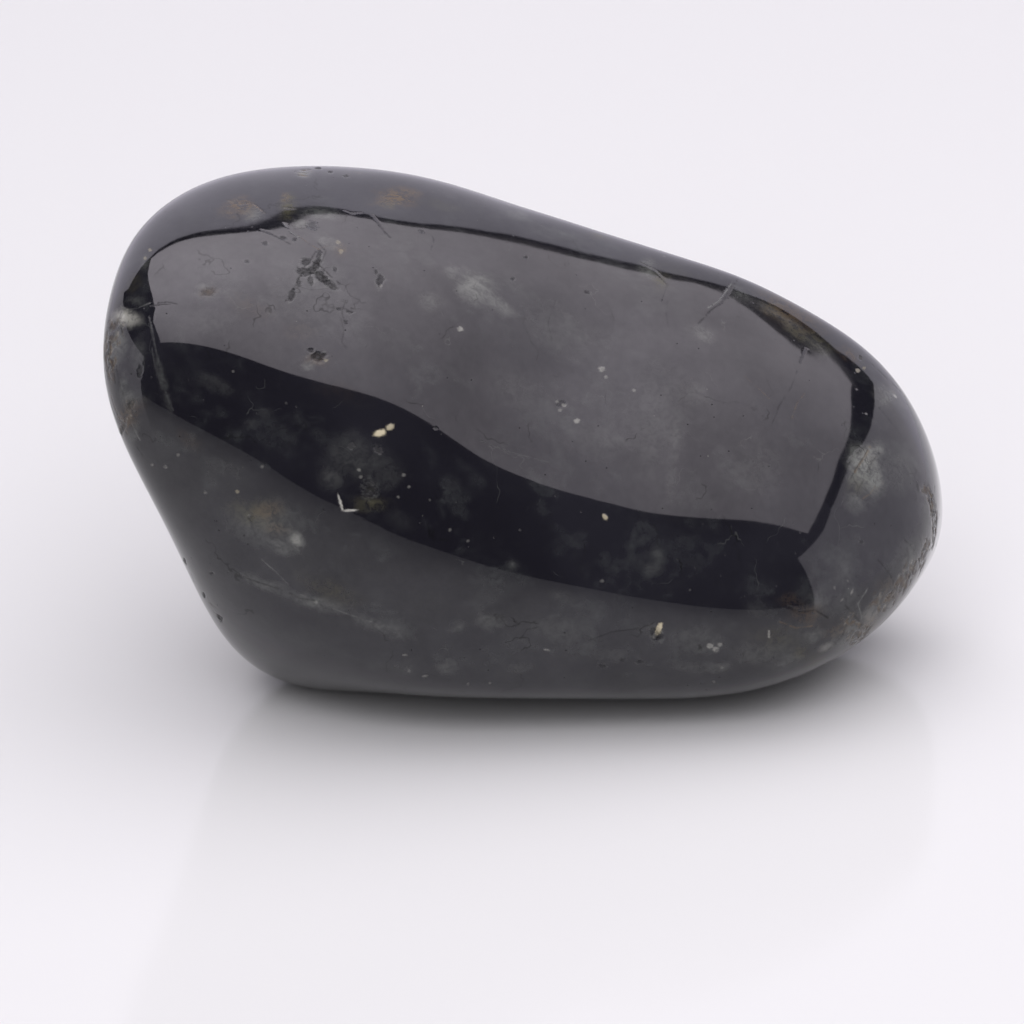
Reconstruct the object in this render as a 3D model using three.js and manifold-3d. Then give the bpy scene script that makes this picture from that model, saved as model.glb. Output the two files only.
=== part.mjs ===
// A single tumbled and polished stone: a dark, glossy, rounded pebble with one broad
// worn face on top, a rounded shoulder below it, a leaning left end, a full right end
// and a small flat spot underneath, on which it rests. It formed as one piece, so it
// is one closed solid. Millimetres, +Z up, +X along the length towards the lower,
// fuller end, -Y towards the broad polished face.
//
// The body is the rounded intersection of its worn faces. Each face is a plane at a
// distance from the stone's middle; the faces melt into one another by a power sum, so
// every edge comes out as a soft, tumbled radius. Low swells then bring the broad,
// uneven hollows and crowns that tumbling leaves.

import * as THREE from 'three';
import * as BufferGeometryUtils from 'three/addons/utils/BufferGeometryUtils.js';
import Module from 'manifold-3d';

// ---- driving dimensions ------------------------------------------------------------
const LENGTH_SCALE = 1.0;                 // 1.0 is a stone 41.8 mm long
const MIDDLE = [0.9264, 2.0207, 13.9211];      // mm, the stone's middle above the resting plane
const FACE_BLEND = 5.8077;                  // higher is a tighter edge between faces
// name, azimuth (deg, 0 = +X, 90 = +Y), elevation (deg), distance from the middle (mm)
const FACES = [
  ['top_front', -57.78, 49.04, 7.536],
  ['shoulder', -80.29, 17.13, 13.070],
  ['lower_front', -83.32, 13.99, 11.917],
  ['under_front', -99.52, -27.04, 16.954],
  ['bottom', -29.93, -80.37, 16.266],
  ['left_end', 157.15, -22.63, 19.060],
  ['left_top', 7.23, 82.11, 19.414],
  ['left_low', -120.20, -25.33, 22.493],
  ['left_front', -118.23, -16.62, 42.516],
  ['left_back', 129.78, -6.39, 15.606],
  ['right_end', -17.55, 13.61, 35.423],
  ['right_top', 7.65, 24.41, 19.441],
  ['right_low', -31.34, -17.04, 22.260],
  ['right_front', -30.58, -15.23, 25.992],
  ['right_back', 48.66, 12.74, 22.902],
  ['top', 1.37, 81.90, 9.328],
  ['top_right', 71.26, 58.38, 16.781],
  ['top_back', 89.09, 41.46, 14.182],
  ['back', 85.12, 3.86, 8.260],
  ['back_low', 98.62, -35.94, 12.076],
  ['top_left', 104.65, 51.56, 20.811],
  ['under_left', 152.58, -21.04, 23.336],
  ['under_right', -30.72, -80.32, 17.672],
  ['front_mid_left', -127.92, 56.43, 19.960],
  ['front_mid_right', -70.15, 30.21, 12.412],
];
const SWELL_WIDTH = 10.0;                 // sharpness of the low swells (about 18 deg wide)
// height of each low swell, as a share of the local radius; the swells are spaced
// evenly over the sphere on a golden spiral, from the top down
const SWELLS = [
  -0.0267, -0.0179, -0.0012, -0.0136, -0.0280, -0.0711, -0.0194, -0.0140, 0.0024, 0.0789,
  0.0056, 0.0777, -0.0224, -0.0043, -0.0364, -0.0229, 0.0003, 0.0300, -0.0657, 0.0323,
  -0.0161, -0.0011, 0.0077, 0.0362, 0.0012, -0.0482, -0.0016, -0.0518, -0.0296, -0.0001,
  0.0744, -0.1032, 0.0003, 0.0170, -0.0008, -0.0937, 0.1354, 0.0002, 0.0203, -0.0000,
  -0.0056, -0.0423, -0.0001, 0.0011, -0.0169, 0.0001, 0.0014, 0.0001, -0.0591, 0.0270,
  0.0000, 0.0586, -0.0013, -0.0000, 0.0237, -0.0000, -0.0662, -0.0251, 0.0000, 0.0162,
  0.0003, -0.0132, 0.0355, 0.0000, 0.0206, -0.0001, 0.0001, 0.0100, 0.0001, -0.0055,
  0.0132, -0.0000, 0.0416, 0.0008, 0.0005, -0.0420, 0.0001, -0.0369, 0.0118, -0.0001,
  -0.0107, 0.0004, 0.0001, 0.0219, -0.0000, -0.0854, 0.0007, -0.0007, -0.0370, -0.0000,
];
const FOOT_Z = 0;                         // height of the flat resting spot
const MESH_STEPS = 15;                    // subdivisions of each icosahedron edge
const MESH_STRETCH = [1.6, 1.0, 1.05];    // evens out the facets along the length

const COLOUR = 0x1c1d20;                  // near-black, faintly blue-green
const ROUGHNESS = 0.12;
const METALNESS = 0.0;

// ---- the surface ------------------------------------------------------------------
const rad = THREE.MathUtils.degToRad;
const direction = (azimuth, elevation) => new THREE.Vector3(
  Math.cos(rad(elevation)) * Math.cos(rad(azimuth)),
  Math.cos(rad(elevation)) * Math.sin(rad(azimuth)),
  Math.sin(rad(elevation)),
);

const faces = FACES.map(([, azimuth, elevation, distance]) => ({
  normal: direction(azimuth, elevation), distance,
}));

const swells = SWELLS.map((height, i) => {
  const z = 1 - (2 * (i + 0.5)) / SWELLS.length;
  const turn = (i + 0.5) * Math.PI * (3 - Math.sqrt(5));
  const r = Math.sqrt(1 - z * z);
  return { at: new THREE.Vector3(r * Math.cos(turn), r * Math.sin(turn), z), height };
});

// distance from the middle to the surface along the unit vector u
function radius(u) {
  let sum = 0;
  for (const { normal, distance } of faces) {
    const s = normal.dot(u) / distance;
    if (s > 0) sum += s ** FACE_BLEND;
  }
  const faceted = sum ** (-1 / FACE_BLEND);
  let swell = 1;
  for (const { at, height } of swells) swell += height * Math.exp(SWELL_WIDTH * (at.dot(u) - 1));
  return faceted * swell;
}

// ---- the solid --------------------------------------------------------------------
function toSolid(wasm, geometry) {
  let g = geometry.clone();
  g.deleteAttribute('normal');
  g.deleteAttribute('uv');
  g = BufferGeometryUtils.mergeVertices(g, 1e-5);
  return new wasm.Manifold(new wasm.Mesh({
    numProp: 3,
    vertProperties: new Float32Array(g.attributes.position.array),
    triVerts: new Uint32Array(g.index.array),
  }));
}

function toGeometry(solid) {
  const mesh = solid.getMesh();
  const positions = new Float32Array(mesh.numVert * 3);
  for (let i = 0; i < mesh.numVert; i += 1) {
    for (let k = 0; k < 3; k += 1) positions[3 * i + k] = mesh.vertProperties[i * mesh.numProp + k];
  }
  const g = new THREE.BufferGeometry();
  g.setAttribute('position', new THREE.BufferAttribute(positions, 3));
  g.setIndex(new THREE.BufferAttribute(new Uint32Array(mesh.triVerts), 1));
  return g;
}

const wasm = await Module();
wasm.setup();

// a round blank, pushed out to the worn surface
const blank = new THREE.IcosahedronGeometry(1, MESH_STEPS);
const position = blank.attributes.position;
const u = new THREE.Vector3();
for (let i = 0; i < position.count; i += 1) {
  u.fromBufferAttribute(position, i);
  u.set(u.x * MESH_STRETCH[0], u.y * MESH_STRETCH[1], u.z * MESH_STRETCH[2]).normalize();
  const r = radius(u);
  position.setXYZ(i, MIDDLE[0] + r * u.x, MIDDLE[1] + r * u.y, MIDDLE[2] + r * u.z);
}
blank.computeBoundingBox();
const span = blank.boundingBox.getSize(new THREE.Vector3());

// the foot: everything below the resting plane is worn away flat
const below = new THREE.BoxGeometry(span.x * 2, span.y * 2, 10);
below.translate(0, 0, FOOT_Z - 5);

const worn = toSolid(wasm, blank).subtract(toSolid(wasm, below));
const stoneGeometry = toGeometry(worn);

// origin at the middle of the footprint's box, on the resting plane
stoneGeometry.computeBoundingBox();
const box = stoneGeometry.boundingBox;
stoneGeometry.translate(-(box.min.x + box.max.x) / 2, -(box.min.y + box.max.y) / 2, -box.min.z);
stoneGeometry.scale(LENGTH_SCALE, LENGTH_SCALE, LENGTH_SCALE);
stoneGeometry.computeVertexNormals();

const stone = new THREE.Mesh(
  stoneGeometry,
  new THREE.MeshStandardMaterial({ color: COLOUR, roughness: ROUGHNESS, metalness: METALNESS }),
);
stone.name = 'stone';

const part = new THREE.Group();
part.name = 'polished_stone';
part.add(stone);

export default part;
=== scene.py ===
import math
import numpy as np
import bpy
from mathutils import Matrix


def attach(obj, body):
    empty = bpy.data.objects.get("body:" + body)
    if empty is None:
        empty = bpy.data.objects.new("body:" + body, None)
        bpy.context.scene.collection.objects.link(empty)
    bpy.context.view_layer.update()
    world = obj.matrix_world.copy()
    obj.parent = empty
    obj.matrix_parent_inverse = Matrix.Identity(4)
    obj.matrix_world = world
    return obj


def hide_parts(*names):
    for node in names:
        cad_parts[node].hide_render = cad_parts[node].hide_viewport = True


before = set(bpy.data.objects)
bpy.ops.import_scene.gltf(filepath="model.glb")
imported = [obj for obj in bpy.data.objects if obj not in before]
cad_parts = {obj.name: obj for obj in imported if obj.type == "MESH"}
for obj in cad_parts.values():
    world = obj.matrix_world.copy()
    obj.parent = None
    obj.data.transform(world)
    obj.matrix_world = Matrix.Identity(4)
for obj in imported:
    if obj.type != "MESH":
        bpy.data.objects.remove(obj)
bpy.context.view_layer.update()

# =====================================================================================
# The stone's smooth worn body. Millimetres, in a working frame whose z = 0 is the
# resting plane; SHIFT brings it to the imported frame.
# =====================================================================================
MIDDLE = np.array([0.9264, 2.0207, 13.9211])
BLEND = 5.8077
FACES = [
    ('top_front', -57.78, 49.04, 7.536),
    ('shoulder', -80.29, 17.13, 13.070),
    ('lower_front', -83.32, 13.99, 11.917),
    ('under_front', -99.52, -27.04, 16.954),
    ('bottom', -29.93, -80.37, 16.266),
    ('left_end', 157.15, -22.63, 19.060),
    ('left_top', 7.23, 82.11, 19.414),
    ('left_low', -120.20, -25.33, 22.493),
    ('left_front', -118.23, -16.62, 42.516),
    ('left_back', 129.78, -6.39, 15.606),
    ('right_end', -17.55, 13.61, 35.423),
    ('right_top', 7.65, 24.41, 19.441),
    ('right_low', -31.34, -17.04, 22.260),
    ('right_front', -30.58, -15.23, 25.992),
    ('right_back', 48.66, 12.74, 22.902),
    ('top', 1.37, 81.90, 9.328),
    ('top_right', 71.26, 58.38, 16.781),
    ('top_back', 89.09, 41.46, 14.182),
    ('back', 85.12, 3.86, 8.260),
    ('back_low', 98.62, -35.94, 12.076),
    ('top_left', 104.65, 51.56, 20.811),
    ('under_left', 152.58, -21.04, 23.336),
    ('under_right', -30.72, -80.32, 17.672),
    ('front_mid_left', -127.92, 56.43, 19.960),
    ('front_mid_right', -70.15, 30.21, 12.412),
]
SWELL_WIDTH = 10.0
SWELLS = np.array([
    -0.0267, -0.0179, -0.0012, -0.0136, -0.0280, -0.0711, -0.0194, -0.0140, 0.0024, 0.0789,
    0.0056, 0.0777, -0.0224, -0.0043, -0.0364, -0.0229, 0.0003, 0.0300, -0.0657, 0.0323,
    -0.0161, -0.0011, 0.0077, 0.0362, 0.0012, -0.0482, -0.0016, -0.0518, -0.0296, -0.0001,
    0.0744, -0.1032, 0.0003, 0.0170, -0.0008, -0.0937, 0.1354, 0.0002, 0.0203, -0.0000,
    -0.0056, -0.0423, -0.0001, 0.0011, -0.0169, 0.0001, 0.0014, 0.0001, -0.0591, 0.0270,
    0.0000, 0.0586, -0.0013, -0.0000, 0.0237, -0.0000, -0.0662, -0.0251, 0.0000, 0.0162,
    0.0003, -0.0132, 0.0355, 0.0000, 0.0206, -0.0001, 0.0001, 0.0100, 0.0001, -0.0055,
    0.0132, -0.0000, 0.0416, 0.0008, 0.0005, -0.0420, 0.0001, -0.0369, 0.0118, -0.0001,
    -0.0107, 0.0004, 0.0001, 0.0219, -0.0000, -0.0854, 0.0007, -0.0007, -0.0370, -0.0000,
])
SHIFT = np.array([0.919, -0.508, 0.0])

# low ripples left by the wear, hundredths of a millimetre high: place on an even spiral
# round the stone, and height in mm
RIPPLE_COUNT, RIPPLE_WIDTH = 1000, 85.0
RIPPLES = [
    (0, -0.0018), (1, 0.0009), (2, 0.0031), (3, -0.0023), (4, 0.0033), (5, -0.0020), (6, 0.0019), (7, 0.0040),
    (8, -0.0008), (11, 0.0030), (12, 0.0018), (13, -0.0010), (14, 0.0025), (15, 0.0017), (16, 0.0047), (17, -0.0012),
    (19, 0.0047), (20, 0.0015), (21, 0.0025), (22, -0.0076), (24, 0.0059), (26, 0.0014), (27, 0.0112), (29, 0.0032),
    (30, -0.0048), (31, 0.0008), (34, 0.0017), (35, -0.0012), (36, -0.0006), (37, 0.0010), (38, -0.0016), (39, 0.0022),
    (40, 0.0055), (42, 0.0015), (43, -0.0072), (44, -0.0029), (45, 0.0008), (48, 0.0139), (50, -0.0042), (51, -0.0034),
    (52, -0.0011), (53, -0.0037), (55, 0.0060), (56, -0.0054), (57, -0.0026), (58, -0.0022), (59, -0.0007), (60, -0.0025),
    (61, 0.0097), (63, -0.0055), (64, -0.0044), (65, -0.0051), (66, 0.0013), (68, 0.0037), (69, 0.0060), (70, -0.0018),
    (71, -0.0078), (72, -0.0013), (74, -0.0079), (76, 0.0076), (77, -0.0062), (78, -0.0031), (79, 0.0040), (81, -0.0014),
    (82, 0.0130), (83, -0.0013), (84, -0.0116), (85, -0.0019), (86, -0.0028), (87, -0.0029), (89, 0.0113), (90, 0.0009),
    (91, -0.0034), (92, -0.0031), (94, -0.0025), (95, -0.0120), (96, -0.0009), (98, -0.0022), (99, -0.0036), (100, 0.0072),
    (102, 0.0021), (103, 0.0216), (104, -0.0030), (107, -0.0061), (108, -0.0102), (111, 0.0008), (112, -0.0056), (113, 0.0086),
    (115, -0.0038), (116, 0.0193), (117, -0.0020), (120, -0.0101), (124, 0.0111), (125, -0.0068), (128, -0.0072), (129, 0.0006),
    (130, -0.0012), (133, -0.0109), (134, 0.0091), (136, -0.0031), (137, 0.0198), (138, -0.0045), (141, -0.0072), (142, -0.0032),
    (145, 0.0033), (146, -0.0117), (149, -0.0106), (150, 0.0317), (151, -0.0024), (154, -0.0081), (155, -0.0007), (158, -0.0016),
    (159, -0.0089), (161, 0.0008), (162, -0.0032), (163, 0.0014), (164, -0.0008), (166, 0.0017), (167, -0.0163), (171, 0.0110),
    (172, -0.0040), (174, 0.0011), (176, -0.0016), (179, 0.0080), (180, -0.0144), (182, 0.0006), (183, -0.0106), (184, 0.0104),
    (185, -0.0015), (188, -0.0053), (192, 0.0042), (193, -0.0071), (195, 0.0018), (196, -0.0112), (197, -0.0006), (200, 0.0091),
    (201, -0.0253), (206, -0.0028), (208, 0.0013), (209, 0.0069), (210, -0.0010), (213, 0.0201), (214, -0.0138), (216, 0.0016),
    (217, -0.0085), (218, 0.0012), (219, -0.0009), (221, -0.0021), (222, -0.0363), (226, 0.0074), (227, -0.0052), (229, 0.0034),
    (230, -0.0078), (231, -0.0010), (234, 0.0276), (235, -0.0280), (237, 0.0009), (239, -0.0049), (240, -0.0017), (242, -0.0022),
    (243, -0.0160), (247, 0.0049), (248, -0.0104), (250, 0.0034), (251, 0.0055), (255, -0.0036), (256, -0.0569), (260, 0.0084),
    (261, -0.0033), (263, 0.0040), (264, 0.0143), (268, 0.0124), (269, -0.0218), (271, 0.0020), (273, -0.0041), (274, -0.0010),
    (276, -0.0173), (277, -0.0595), (281, 0.0010), (282, -0.0066), (284, 0.0041), (285, -0.0291), (290, -0.0478), (292, 0.0008),
    (294, -0.0025), (295, -0.0019), (297, -0.0009), (298, 0.0579), (302, -0.0300), (303, -0.0136), (305, 0.0026), (306, 0.0472),
    (307, -0.0016), (310, -0.0388), (311, -0.0841), (315, 0.0088), (316, -0.0036), (318, -0.0031), (319, -0.0804), (323, 0.0023),
    (324, -0.0283), (328, -0.0054), (329, -0.0010), (331, -0.0092), (336, -0.0184), (337, -0.0073), (339, -0.0040), (340, 0.0388),
    (341, -0.0009), (344, -0.0180), (345, -0.0529), (349, 0.0016), (350, -0.0017), (352, -0.0101), (353, -0.0898), (358, -0.0150),
    (360, -0.0037), (362, -0.0024), (365, -0.0146), (366, -0.0384), (368, 0.0008), (370, 0.0016), (371, -0.0029), (373, -0.0133),
    (374, -0.0173), (378, 0.0281), (379, -0.0266), (381, -0.0014), (383, -0.0016), (384, -0.0008), (386, -0.0053), (387, -0.0648),
    (391, 0.0030), (392, -0.0062), (394, -0.0073), (396, -0.0012), (399, -0.0097), (400, -0.0270), (402, 0.0014), (404, 0.0018),
    (405, -0.0008), (407, -0.0108), (408, -0.0909), (412, 0.0233), (413, -0.0145), (415, -0.0047), (417, -0.0011), (418, -0.0008),
    (420, -0.0049), (421, -0.0419), (425, 0.0028), (428, 0.0033), (431, 0.0007), (433, 0.0014), (434, -0.0212), (439, -0.0007),
    (441, -0.0185), (442, -0.0407), (444, -0.0032), (446, 0.0038), (447, -0.0017), (449, -0.0021), (451, -0.0007), (452, -0.0011),
    (454, -0.0066), (455, -0.0406), (457, 0.0030), (460, 0.0010), (462, 0.0076), (463, 0.1147), (465, 0.0019), (467, -0.0019),
    (468, -0.0115), (470, -0.0009), (473, -0.0017), (475, -0.0286), (476, -0.0465), (478, -0.0069), (480, -0.0015), (481, 0.0063),
    (483, -0.0018), (489, -0.0188), (491, 0.0021), (494, -0.0021), (496, -0.0065), (497, 0.0618), (499, -0.0030), (501, -0.0061),
    (502, 0.0024), (504, 0.0017), (507, -0.0046), (509, -0.0162), (510, -0.0475), (512, -0.0047), (514, -0.0010), (515, 0.0011),
    (517, -0.0177), (520, 0.0048), (522, -0.0021), (523, -0.0050), (528, -0.0036), (530, -0.0064), (531, -0.0110), (533, -0.0080),
    (535, -0.0034), (536, 0.0066), (538, -0.0047), (541, -0.0081), (543, -0.0018), (544, -0.0152), (546, -0.0031), (549, -0.0090),
    (551, -0.0181), (552, 0.0229), (556, -0.0036), (557, -0.0037), (559, -0.0032), (562, -0.0056), (565, -0.0293), (567, -0.0016),
    (572, -0.0107), (575, -0.0038), (578, -0.0045), (580, -0.0027), (583, -0.0100), (585, -0.0015), (586, -0.0145), (588, -0.0028),
    (590, 0.0021), (591, -0.0020), (593, -0.0074), (596, -0.0089), (598, 0.0018), (599, -0.0089), (601, 0.0010), (604, -0.0099),
    (606, -0.0025), (609, -0.0039), (611, 0.0047), (612, -0.0073), (614, -0.0040), (616, -0.0007), (617, -0.0039), (619, 0.0034),
    (620, -0.0021), (622, 0.0009), (624, 0.0030), (625, 0.0054), (627, -0.0039), (630, -0.0048), (632, 0.0035), (633, -0.0040),
    (635, -0.0016), (637, -0.0010), (638, -0.0110), (640, 0.0033), (643, -0.0031), (645, 0.0069), (646, -0.0027), (648, -0.0049),
    (651, -0.0013), (653, 0.0026), (654, 0.0057), (656, -0.0007), (658, -0.0015), (659, 0.0037), (661, 0.0017), (664, -0.0035),
    (666, 0.0044), (667, -0.0066), (669, -0.0027), (671, -0.0013), (672, -0.0047), (674, 0.0028), (675, 0.0215), (677, -0.0010),
    (679, -0.0027), (680, 0.0048), (682, -0.0022), (685, -0.0044), (687, 0.0017), (688, -0.0047), (690, -0.0029), (692, -0.0027),
    (693, -0.0012), (695, 0.0024), (698, -0.0032), (700, -0.0042), (701, -0.0037), (703, -0.0018), (706, -0.0097), (708, 0.0015),
    (709, 0.0041), (713, -0.0074), (714, -0.0007), (719, -0.0021), (721, -0.0021), (722, -0.0087), (724, -0.0024), (726, -0.0014),
    (727, -0.0042), (729, 0.0017), (732, -0.0020), (734, -0.0114), (735, -0.0053), (740, -0.0121), (743, -0.0088), (747, -0.0030),
    (748, -0.0046), (750, 0.0014), (753, -0.0007), (755, -0.0056), (756, -0.0071), (758, -0.0011), (761, -0.0081), (763, 0.0009),
    (768, -0.0041), (769, -0.0171), (774, -0.0043), (776, -0.0010), (777, -0.0085), (781, 0.0012), (782, 0.0059), (784, 0.0019),
    (787, -0.0008), (789, 0.0016), (790, -0.0139), (795, -0.0065), (798, -0.0082), (800, 0.0013), (802, 0.0042), (803, -0.0039),
    (805, 0.0020), (808, -0.0024), (810, 0.0026), (811, -0.0081), (816, 0.0103), (818, 0.0012), (821, 0.0009), (823, 0.0097),
    (824, -0.0127), (829, -0.0072), (831, -0.0019), (832, -0.0067), (834, 0.0016), (836, 0.0059), (837, 0.0192), (839, 0.0031),
    (844, 0.0077), (845, -0.0074), (847, -0.0011), (850, -0.0024), (852, -0.0019), (855, 0.0022), (857, 0.0082), (858, 0.0044),
    (860, 0.0016), (863, -0.0050), (865, -0.0033), (866, -0.0048), (868, 0.0012), (871, 0.0070), (873, 0.0009), (876, 0.0014),
    (878, 0.0029), (879, -0.0020), (881, -0.0011), (884, -0.0066), (886, -0.0070), (889, 0.0033), (891, 0.0032), (892, 0.0035),
    (894, 0.0012), (897, -0.0015), (899, -0.0064), (900, -0.0015), (905, -0.0029), (907, -0.0030), (910, 0.0022), (912, -0.0019),
    (918, -0.0032), (920, -0.0066), (923, 0.0019), (926, -0.0008), (928, -0.0009), (933, -0.0047), (939, -0.0020), (941, -0.0033),
    (944, 0.0009), (946, -0.0027), (952, -0.0006), (954, -0.0032), (960, -0.0007), (962, -0.0014), (967, -0.0021), (975, -0.0016),
    (983, -0.0007),
]

def direction(az, el):
    az, el = math.radians(az), math.radians(el)
    return np.array([math.cos(el) * math.cos(az), math.cos(el) * math.sin(az), math.sin(el)])

FACE_N = np.array([direction(a, e) / d for _, a, e, d in FACES])
_k = np.arange(len(SWELLS)) + 0.5
_z = 1 - 2 * _k / len(SWELLS)
_t = _k * math.pi * (3 - math.sqrt(5))
SWELL_AT = np.c_[np.sqrt(1 - _z * _z) * np.cos(_t), np.sqrt(1 - _z * _z) * np.sin(_t), _z]

def radius(u):
    out = np.empty(len(u))
    for i in range(0, len(u), 40000):
        v = u[i:i + 40000]
        s = np.maximum(v @ FACE_N.T, 0) ** BLEND
        swell = 1 + np.exp(SWELL_WIDTH * (v @ SWELL_AT.T - 1)) @ SWELLS
        out[i:i + 40000] = s.sum(1) ** (-1 / BLEND) * swell
    return out

def ripple(u):
    k = np.array([i for i, _ in RIPPLES]) + 0.5
    z = 1 - 2 * k / RIPPLE_COUNT
    t = k * math.pi * (3 - math.sqrt(5))
    at = np.c_[np.sqrt(1 - z * z) * np.cos(t), np.sqrt(1 - z * z) * np.sin(t), z]
    high = np.array([h for _, h in RIPPLES])
    out = np.empty(len(u))
    for i in range(0, len(u), 20000):
        out[i:i + 20000] = np.exp(RIPPLE_WIDTH * (u[i:i + 20000] @ at.T - 1)) @ high
    return out

def unit(v):
    return v / np.linalg.norm(v, axis=-1, keepdims=True)

def inside(p):
    x = p - MIDDLE
    r = np.linalg.norm(x, axis=1)
    return r < radius(x / r[:, None])

# =====================================================================================
# The viewpoint, the same as the photograph's: about 22 degrees above the table
# =====================================================================================
MM_PER_PX = 0.05
DIST = 350.0
FOCAL_PX = DIST / MM_PER_PX
ELEV = math.radians(21.70)
TARGET = np.array([0.0, 0.0, 8.870])
BACK = np.array([0.0, -math.cos(ELEV), math.sin(ELEV)])
EYE = TARGET + DIST * BACK
RIGHT = np.array([1.0, 0, 0])
UP = np.array([0.0, math.sin(ELEV), math.cos(ELEV)])

def seen_at(px):
    """points of the stone's smooth surface at these places of the 1024 frame"""
    px = np.atleast_2d(np.asarray(px, float))
    d = unit(((px[:, :1] - 512) / FOCAL_PX) * RIGHT - ((px[:, 1:] - 512) / FOCAL_PX) * UP - BACK)
    lo = np.full(len(px), DIST - 32.0)
    best = np.full(len(px), DIST)
    found = np.zeros(len(px), bool)
    for s in np.linspace(DIST - 30, DIST + 30, 121):
        hit = inside(EYE + s * d) & ~found
        best[hit] = s
        found |= hit
    lo, hi = best - 0.5, best.copy()
    for _ in range(16):
        mid = (lo + hi) / 2
        inn = inside(EYE + mid[:, None] * d)
        hi = np.where(inn, mid, hi)
        lo = np.where(inn, lo, mid)
    # a ray that just misses the rim takes the nearest point of the surface
    p = EYE + hi[:, None] * d
    miss = ~found
    if miss.any():
        q = EYE + (((MIDDLE - EYE) * d[miss]).sum(1))[:, None] * d[miss]
        u = unit(q - MIDDLE)
        p[miss] = MIDDLE + radius(u)[:, None] * u
    return p

# =====================================================================================
# Noise in plain arrays
# =====================================================================================
_rng = np.random.default_rng(20260)
_GRAD = unit(_rng.normal(size=(4096, 3)))

def noise(p, seed=0):
    i = np.floor(p).astype(np.int64)
    f = p - i
    w = f * f * f * (f * (f * 6 - 15) + 10)
    out = np.zeros(len(p))
    for dx in (0, 1):
        for dy in (0, 1):
            for dz in (0, 1):
                h = ((i[:, 0] + dx) * 73856093) ^ ((i[:, 1] + dy) * 19349663) ^ ((i[:, 2] + dz) * 83492791) ^ (seed * 2654435761)
                g = _GRAD[(h ^ (h >> 13)) & 4095]
                dot = g[:, 0] * (f[:, 0] - dx) + g[:, 1] * (f[:, 1] - dy) + g[:, 2] * (f[:, 2] - dz)
                out += dot * np.where(dx, w[:, 0], 1 - w[:, 0]) * np.where(dy, w[:, 1], 1 - w[:, 1]) * np.where(dz, w[:, 2], 1 - w[:, 2])
    return out * 1.6

def fbm(p, scale, octaves=4, seed=0, gain=0.5):
    out, a = np.zeros(len(p)), 1.0
    for o in range(octaves):
        out += a * noise(p * scale, seed + o * 17)
        scale *= 2.03
        a *= gain
    return out

def smooth(a, b, x):
    t = np.clip((x - a) / (b - a), 0, 1)
    return t * t * (3 - 2 * t)

# =====================================================================================
# The marks. Places are in the 1024 frame; sizes in its pixels, each 0.05 mm.
# =====================================================================================
# pits: x, y, half-width, half-height, turn (deg), depth mm, darkness
PITS = [
    (316, 266, 9, 4, -62, 0.10, 1.0), (309, 272, 8, 3.4, -30, 0.08, 0.9), (321, 277, 8, 5, 38, 0.10, 1.0), (311, 281, 6, 3, 70, 0.06, 0.8), (327, 281, 6, 2.2, 12, 0.06, 0.9), (319, 256, 3, 6, 10, 0.05, 0.6), (303, 271, 7, 4, 0, 0.07, 0.9),
    (331, 285, 8, 3.5, 30, 0.06, 0.8), (292, 295, 3.5, 7, 25, 0.05, 0.8), (306, 262, 5, 4, 0, 0.08, 0.9),
    (299, 283, 3, 4, 0, 0.04, 0.7), (335, 270, 2.5, 3, 0, 0.03, 0.6),
    (318, 357, 8, 5.5, 5, 0.08, 0.9), (311, 350, 3.5, 2.5, 20, 0.04, 0.6), (380, 281, 3.6, 7, 10, 0.06, 0.8),
    (376, 272, 2, 3, 0, 0.03, 0.6), (208, 292, 9, 4.5, -12, 0.035, 0.35), (312, 226, 5, 4.5, 0, 0.04, 0.25),
    (339, 309, 4, 1.6, 12, 0.03, 0.7), (350, 312, 4, 1.4, 5, 0.03, 0.7), (346, 322, 2, 3, 0, 0.02, 0.5),
    (185, 561, 6, 2.4, 60, 0.05, 0.5), (204, 595, 4, 2.0, 60, 0.05, 0.5), (220, 618, 6, 2.2, 55, 0.05, 0.5), (212, 573, 2.4, 1.6, 0, 0.03, 0.5),
    (370, 490, 7, 9, 0, 0.05, 0.9), (352, 446, 5, 4, 0, 0.03, 0.6), (378, 450, 6, 4, 30, 0.03, 0.6),
    (861, 542, 2, 2, 0, 0.03, 0.8), (422, 232, 2, 2, 0, 0.03, 0.8), (526, 257, 2, 1.6, 0, 0.03, 0.8), (513, 279, 1.8, 1.8, 0, 0.03, 0.7),
    (587, 292, 3.5, 2, 20, 0.03, 0.7), (436, 428, 1.6, 1.6, 0, 0.02, 0.7), (562, 404, 5, 4, 0, 0.03, 0.25), (862, 356, 2.4, 1.6, 40, 0.03, 0.5),
    (656, 634, 6, 8, -25, 0.05, 0.8), (700, 648, 3, 3, 0, 0.03, 0.6), (640, 662, 4, 2, 0, 0.03, 0.5), (622, 660, 3, 2, 0, 0.03, 0.5), (603, 666, 5, 2, 15, 0.03, 0.5),
    (251, 518, 3.4, 3.4, 0, 0.03, 0.5), (247, 262, 3, 2, 0, 0.02, 0.4), (265, 244, 3, 2, 0, 0.03, 0.6), (283, 238, 4, 2, 10, 0.04, 0.6),
    (295, 240, 3, 2.5, 0, 0.03, 0.6), (346, 176, 3, 2, 0, 0.03, 0.5), (330, 172, 3, 2, 0, 0.03, 0.5), (318, 168, 4, 2, 0, 0.04, 0.5),
    (131, 404, 4, 8, 20, 0.04, 0.6), (122, 430, 3, 6, 20, 0.04, 0.6), (140, 372, 2.5, 6, 10, 0.03, 0.5),
]
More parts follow.
